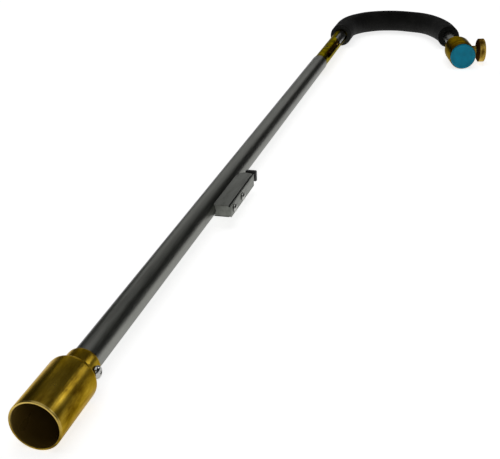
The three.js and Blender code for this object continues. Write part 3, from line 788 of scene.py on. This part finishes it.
# ---- gas mixer -----------------------------------------------------------------------------
def slot_cutter(turn):
    """The room of one air slot: a round front end, then a wider rear, from near the axis
    outwards."""
    start, end = MIXER["start"] + MIXER["ring"], SLOT["end"]
    half, rear_half = SLOT["half"], SLOT["rear_half"]
    rear_start, widened = SLOT["rear_start"], SLOT["rear_start"] + 1.5
    steps = 16
    outline = []
    for k in range(steps + 1):
        angle = math.pi / 2 + math.pi * k / steps
        outline.append((start + half + half * math.cos(angle), half * math.sin(angle)))
    outline += [(rear_start, -half), (widened, -rear_half), (end, -rear_half)]
    outline += [(end, rear_half), (widened, rear_half), (rear_start, half)]
    bm = bmesh.new()
    count = len(outline)
    out = Matrix.Rotation(math.radians(turn), 3, "X")
    inside, outside = 2, 11
    corners = [
        bm.verts.new(mouth + out @ Vector((x, y, z)) * MM)
        for z in (inside, outside)
        for x, y in outline
    ]
    bm.faces.new(corners[:count])
    bm.faces.new(corners[count:][::-1])
    for k in range(count):
        following = (k + 1) % count
        bm.faces.new((corners[k], corners[k + count], corners[following + count], corners[following]))
    mesh = bpy.data.meshes.new("slot_cutter")
    bm.to_mesh(mesh)
    bm.free()
    return new_piece("slot_cutter", mesh)


def mixer_sleeve():
    """Sleeve with a spigot in the tube, a turned ring in front and two long air slots."""
    start, end, radius, bore = MIXER["start"], MIXER["end"], MIXER["radius"], MIXER["bore"]
    spigot_start, spigot, throat = start - MIXER["spigot"], TUBE["bore"] - GAP, MIXER["throat"]
    groove, turned = start + MIXER["ring"] - 4.5, radius - 0.12
    sleeve = ringed("air_sleeve", tube_line, softened([
        (spigot_start, spigot, 0.4),
        (start, spigot),
        (start, radius, 0.5),
        (groove, radius, 0.2),
        (groove + 0.3, radius - 0.5),
        (groove + 1, radius - 0.5),
        (groove + 1.3, turned, 0.2),
        (end, turned, 0.4),
        (end, bore, 0.3),
        (groove + 0.5, bore),
        (start + 2, throat),
        (spigot_start, throat + 0.6, 0.3),
    ]), 128)
    hole_foot, hole_top = SET_SCREW["foot"] - GAP, SET_SCREW["top"] + 1.75
    screw_hole = plug(set_screw_line(), hole_foot, hole_top, SET_SCREW["radius"] + GAP)
    cut(sleeve, slot_cutter(SLOT["angle"]), slot_cutter(SLOT["angle"] + 180), screw_hole)
    return settle(sleeve, sleeve_brass, "sleeve_brass", "torch", "mixer_sleeve")


def jet_barrel():
    """The jet's holder, with a thicker end in the gas tube."""
    seat, end, radius, bore = JET["seat"], JET["end"], JET["radius"], JET["bore"]
    thicker, thicker_start = radius + 0.08, GAS_TUBE["start"]
    barrel = ringed("jet_barrel", tube_line, softened([
        (seat, radius, 0.4),
        (thicker_start - 2, radius),
        (thicker_start, thicker, 0.2),
        (end, thicker, 0.3),
        (end, bore),
        (seat, bore, 0.2),
    ]), 96)
    return settle(barrel, jet_brass, "jet_brass", "torch", "jet_holder")


def jet_nozzle():
    """The jet: a cone with a fine orifice, a flange against the holder and a tail in it."""
    tip, face, orifice, bore = JET["tip"], JET["seat"] - GAP, NOZZLE["orifice"], NOZZLE["bore"]
    flange_start, flange, tail, tail_end = face - 8, NOZZLE["radius"], NOZZLE["tail"], face + 7
    nozzle = ringed("jet_tip", tube_line, softened([
        (tip, 1.3, 0.3),
        (flange_start, 2.9),
        (flange_start, flange, 0.3),
        (face, flange, 0.2),
        (face, tail),
        (tail_end, tail, 0.2),
        (tail_end, bore),
        (face - 14, bore),
        (face - 15, orifice),
        (tip, orifice),
    ]), 64)
    return settle(nozzle, jet_brass, "jet_brass", "torch", "jet_nozzle")


def set_screw_line():
    return Line(tube_point(SET_SCREW["x"], 0, 0), UP)


def sleeve_screw():
    """Hex-socket set screw, flush with the sleeve's top."""
    line, radius, foot, top = set_screw_line(), SET_SCREW["radius"], SET_SCREW["foot"], SET_SCREW["top"]
    screw = ringed("set_screw", line, softened([
        (foot, 0), (foot, radius, 0.3), (top, radius, 0.25), (top, 0),
    ]), 48)
    cut(screw, plug(line, SET_SCREW["socket_foot"], top + 0.75, SET_SCREW["socket"], 6))
    return settle(screw, black_oxide, "striker_steel", "torch", "sleeve_screw")


def mixer():
    mixer_sleeve()
    jet_barrel()
    jet_nozzle()
    sleeve_screw()


# ---- handle --------------------------------------------------------------------------------
def gas_tube():
    """The bent tube inside the grip, with its wall seen at the sleeve."""
    start, end = GAS_TUBE["start"], cane_line.length - GAS_TUBE["end_gap"]
    steps = 200
    outside = [(start + (end - start) * k / steps, GAS_TUBE["radius"]) for k in range(steps + 1)]
    inside = [(distance, GAS_TUBE["bore"]) for distance, _ in outside[::-1]]
    tube = ringed("bent_tube", cane_line, outside + inside, 48)
    return settle(tube, gas_aluminium, "gas_aluminium", "torch", "gas_tube")


def foam_outline(start, end):
    """The sleeve's section: a room for the mixer in front, a bore behind and two soft rims."""
    radius, room_end, bore = FOAM["radius"], FOAM["room_end"], FOAM["bore"]
    rim, rim_steps, steps, bore_steps = FOAM_RIM, 6, 300, 80
    first, last = start + rim, end - rim
    quarter = [math.pi / 2 * k / rim_steps for k in range(rim_steps + 1)]
    outline = [(start, FOAM["front_room"])]
    outline += [(first - rim * math.cos(a), radius - rim + rim * math.sin(a)) for a in quarter]
    outline += [(first + (last - first) * k / steps, radius) for k in range(1, steps)]
    outline += [(last + rim * math.sin(a), radius - rim + rim * math.cos(a)) for a in quarter]
    outline += [(end, bore)]
    inner = [(room_end + (end - room_end) * k / bore_steps, bore) for k in range(bore_steps)]
    return outline + inner[::-1] + [(room_end, FOAM["front_room"])]


def foam_swell(distance, angle, reach):
    """The sleeve's outside at a spot: slow lumps, and creases on the inside of its two tight
    bends."""
    if reach < FOAM["radius"] - FOAM_RIM - 1:
        return reach
    spot = Vector((distance * 0.02, math.sin(angle) * 0.5, math.cos(angle) * 0.5))
    lumps = 0.35 * noise.noise(spot) + 0.12 * noise.noise(spot * 4.1)
    inside_bend = max(0.0, math.sin(angle)) ** 3
    first_bend, first_reach, second_bend, second_reach = 957, 38, 1040, 16
    hook = math.exp(-((distance - first_bend) / first_reach) ** 2)
    heel = 0.8 * math.exp(-((distance - second_bend) / second_reach) ** 2)
    waves = math.sin(distance * 0.9) + 0.6 * math.sin(distance * 0.53 + 1)
    creases = 0.08 * inside_bend * (hook + heel) * waves
    return reach + lumps + creases - 0.35


def foam_grip():
    """Foam sleeve with soft rims, slightly lumpy, creased where it is bent tightest."""
    start, end = FOAM["start"], cane_line.length - FOAM["end_gap"]
    grip = ringed("foam_sleeve", cane_line, foam_outline(start, end), 96, foam_swell)
    front, side, up = cane_line.spot(start)
    settle(grip, foam_look(front, side.cross(up)), "foam", "torch", "foam_grip")


def handle():
    gas_tube()
    foam_grip()


# ---- inlet valve ---------------------------------------------------------------------------
def valve_body():
    """Turned body: a cylinder with a threaded socket, a shoulder, a grooved collar and a neck."""
    front, radius, shoulder = INLET["front"], INLET["radius"], INLET["shoulder"]
    collar_start, collar_end, collar = COLLAR["start"], COLLAR["end"], COLLAR["radius"]
    groove, groove_depth = COLLAR["groove"], 0.4
    neck_end, neck, socket_start, socket = NECK["end"], NECK["radius"], NECK["socket_start"], NECK["socket"]
    body = ringed("inlet_body", inlet_line, softened([
        (front, radius, 0.7),
        (shoulder, radius, 0.5),
        (collar_start, collar + 0.9),
        (collar_start + 0.1, collar, 0.1),
        (groove - 0.6, collar, 0.2),
        (groove - 0.3, collar - groove_depth),
        (groove + 0.3, collar - groove_depth),
        (groove + 0.6, collar, 0.2),
        (collar_end, collar, 0.7),
        (collar_end + 2.4, 11.3),
        (collar_end + 4.5, neck, 0.6),
        (neck_end, neck, 0.8),
        (neck_end, socket, 0.2),
        (socket_start, socket),
        (socket_start, 0),
        (INLET["socket_end"], 0),
        *inlet_thread(),
    ]), 160)
    cut(body, *valve_passages())
    return settle(body, body_brass, "body_brass", "torch", "valve_body")


def inlet_thread():
    """The socket's wall, from its floor to its mouth."""
    front, end, crest = INLET["front"], INLET["socket_end"], INLET["crest"]
    pitch = INLET["pitch"]
    wall = [(end, crest)]
    for k in range(int((end - front - 2) / pitch)):
        back = end - 1 - pitch * k
        wall += [(back, crest), (back - 0.5 * pitch, INLET["root"])]
    return wall + [(front + 0.8, crest + 0.1), (front, crest + 0.7)]


def valve_passages():
    """The pin's room, the gas's way in, the seat, the stem's room and the gas's way out."""
    floor, bore = INLET["socket_end"], PASSAGE["radius"]
    stem_side = Line(inlet_line.spot(INLET_TO_STEM)[0], valve_axis)
    way_out = Line(inlet_line.origin + valve_axis * (PASSAGE["outlet"] * MM), inlet_line.axis)
    return [
        plug(inlet_line, floor - 1, floor + 7, PIN_RADIUS + GAP, 32),
        plug(inlet_line, floor - 1, INLET_TO_STEM + 1, bore, 24),
        plug(stem_side, 0, STEM_ROOM["start"] + 1, PASSAGE["seat"], 24),
        plug(stem_side, STEM_ROOM["start"], STEM_ROOM["end"], STEM_ROOM["radius"], 48),
        plug(way_out, INLET_TO_STEM, NECK["socket_start"] + 1, bore, 24),
    ]


def dust_cap():
    """Soft push-in cap: a flange with a raised bead, a faintly domed face and a ribbed plug."""
    flange, flange_end, plug_radius = CAP["flange"], CAP["flange_end"], CAP["plug"]
    plug_end, bore = CAP["plug_end"], CAP["bore"]
    ribs = []
    for crest in (5.4, 8.4):
        ribs += [(crest - 0.4, plug_radius, 0.1), (crest, plug_radius + 0.15, 0.1)]
        ribs += [(crest + 0.4, plug_radius, 0.1)]
    cap = ringed("inlet_cap", inlet_line, softened([
        (0.25, 0),
        (0.16, 6),
        (0.3, flange - 3.2, 0.4),
        (0.05, flange - 2.4, 0.3),
        (0.05, flange - 0.9, 0.5),
        (0.6, flange, 0.5),
        (flange_end, flange, 0.4),
        (flange_end, plug_radius, 0.2),
        *ribs,
        (plug_end, plug_radius - 0.3, 0.3),
        (plug_end, bore, 0.3),
        (flange_end, bore, 0.4),
        (flange_end, 0),
    ]), 128)
    return settle(cap, blue_plastic, "cap_plastic", "cap", "dust_cap")


def packing_nut():
    """Hexagonal nut with turned-off corners, and its plug in the body."""
    seat, top, corner = NUT["seat"], NUT["seat"] + NUT["height"], NUT["flats"] / math.sqrt(3)
    nut = ringed("gland_nut", valve_line, [(seat, 0), (seat, corner), (top, corner), (top, 0)], 6, sharp=20)
    turning = ringed("turning", valve_line, [
        (seat - 1, 0), (seat, 5.2), (seat + 0.5, 5.9), (top - 0.9, 5.9), (top, 4.9), (top + 1, 0),
    ], 64)
    combined(nut, "INTERSECT", [turning], 20)
    neck_start = NUT["neck_start"]
    combined(nut, "UNION", [plug(valve_line, neck_start, seat + 1, NUT["neck"])], 30)
    combined(nut, "DIFFERENCE", [plug(valve_line, neck_start - 1, top + 1, STEM_RADIUS + GAP)], 30)
    return settle(nut, body_brass, "body_brass", "torch", "packing_nut")


def valve_knob():
    """Hand wheel with a fine straight knurl between two turned-off edges and a dished face."""
    inner, outer, radius, teeth = KNOB["inner"], KNOB["outer"], KNOB["radius"], KNOB["teeth"]
    dish, dish_radius, bore = outer - KNOB["recess"], KNOB["recess_radius"], STEM_RADIUS + GAP
    depth = 0.32

    def knurl(distance, angle, reach):
        if reach < radius - 0.05:
            return reach
        return reach - depth * (0.5 - 0.5 * math.cos(teeth * angle))

    wheel = ringed("hand_wheel", valve_line, softened([
        (inner, bore),
        (inner, radius - 1.6, 0.4),
        (inner + 0.9, radius - 0.5),
        (inner + 1.1, radius),
        (outer - 1.1, radius),
        (outer - 0.9, radius - 0.5),
        (outer, radius - 1.7, 0.4),
        (outer, dish_radius, 0.3),
        (dish, dish_radius - 0.6, 0.4),
        (dish, bore),
    ]), teeth * 6, knurl, sharp=30)
    return settle(wheel, knob_brass, "knob_brass", "knob", "valve_knob")


def inlet():
    valve_body()
    dust_cap()
    packing_nut()
    valve_knob()
    seat = KNOB["outer"] - KNOB["recess"] + GAP
    tip = seat - KNOB_SCREW_LENGTH
    dome_screw("wheel_screw", valve_line, seat, "knob_screw", "knob", tip=tip, **KNOB_SCREW)


# ---- pieces that keep their CAD shape ------------------------------------------------------
def finish_kept_nodes():
    """Gives each CAD piece that is kept as it is its material."""
    looks = {
        "electrode_insulator": ceramic,
        "electrode_rod": dark_steel,
        "ignition_lead": red_silicone,
        "igniter_housing": housing_plastic,
        "spark_contact": jet_brass,
        "piezo_crystal": crystal,
        "impact_anvil": dark_steel,
        "piezo_hammer": dark_steel,
        "jet_filter": sintered_bronze,
        "cylinder_seal": soft_rubber,
        "depressor_pin": jet_brass,
        "stem_seal": soft_rubber,
        "valve_stem": dark_steel,
    }
    for name, look in looks.items():
        node = frame["nodes"][name]
        node.data.materials.clear()
        node.data.materials.append(look)


# ---- stage ---------------------------------------------------------------------------------
def floor():
    """Wide pale sheet that glows a little, so that it stays near white in every view."""
    bm = bmesh.new()
    bmesh.ops.create_grid(bm, x_segments=8, y_segments=8, size=60)
    mesh = bpy.data.meshes.new("floor")
    bm.to_mesh(mesh)
    bm.free()
    plane = new_piece("floor", mesh)
    look = Look("floor", (0.9, 0.9, 0.9), 0.9, 0.0, Specular_IOR_Level=0.1, Emission_Strength=0.78)
    look.shader.inputs["Emission Color"].default_value = (1, 1, 1, 1)
    plane.data.materials.append(look.material)


def area_light(name, place, aim, size, radiance):
    """A soft rectangular light of a given brightness, facing a point."""
    data = bpy.data.lights.new(name, "AREA")
    data.shape, data.size, data.size_y = "RECTANGLE", *size
    data.energy = radiance * math.pi * size[0] * size[1]
    light = bpy.data.objects.new(name, data)
    bpy.context.scene.collection.objects.link(light)
    light.location = place
    light.rotation_euler = (Vector(aim) - Vector(place)).to_track_quat("-Z", "Y").to_euler()
    return light


def lights():
    """Three soft panels in a dark room, and a small one that shines on the burner alone."""
    world = bpy.data.worlds.new("studio")
    world.use_nodes = True
    world.node_tree.nodes["Background"].inputs["Color"].default_value = (0.025, 0.025, 0.025, 1)
    bpy.context.scene.world = world
    middle, bell_middle = (0, 0, 0), tube_point(30, 0, 0)
    area_light("overhead", (0.0, 0.1, 2.2), middle, (2.4, 2.0), 0.9)
    area_light("far_panel", (3.0, 0.9, 1.25), middle, (2.6, 1.4), 0.75)
    area_light("front_fill", (-2.4, -0.9, 1.5), middle, (1.8, 1.4), 0.7)
    glow = area_light("burner_glow", (0.95, -1.02, 0.85), bell_middle, (0.5, 0.5), 4.6)
    burner_only = bpy.data.collections.new("burner_only")
    for name in ("burner_shell", "burner_neck_screw"):
        burner_only.objects.link(bpy.data.objects[name])
    glow.light_linking.receiver_collection = burner_only


def camera():
    """Low over the burner, looking along the tube towards the handle."""
    data = bpy.data.cameras.new("camera")
    data.sensor_width, data.lens = 36, 68.6
    data.clip_start, data.clip_end = 0.01, 50
    view = bpy.data.objects.new("camera", data)
    bpy.context.scene.collection.objects.link(view)
    forward, up = Vector((0.8695, 0.2569, -0.4219)), Vector((0.4144, 0.0852, 0.9061))
    right = forward.cross(up).normalized()
    up = right.cross(forward).normalized()
    turn = Matrix((right, up, -forward.normalized())).transposed()
    view.matrix_world = Matrix.Translation(tube_point(-362.9, -229.4, 302)) @ turn.to_4x4()
    bpy.context.scene.camera = view


camera()
floor()
bpy.context.scene.view_settings.view_transform = "Standard"
burner()
main_tube()
igniter()
mixer()
handle()
inlet()
finish_kept_nodes()
lights()
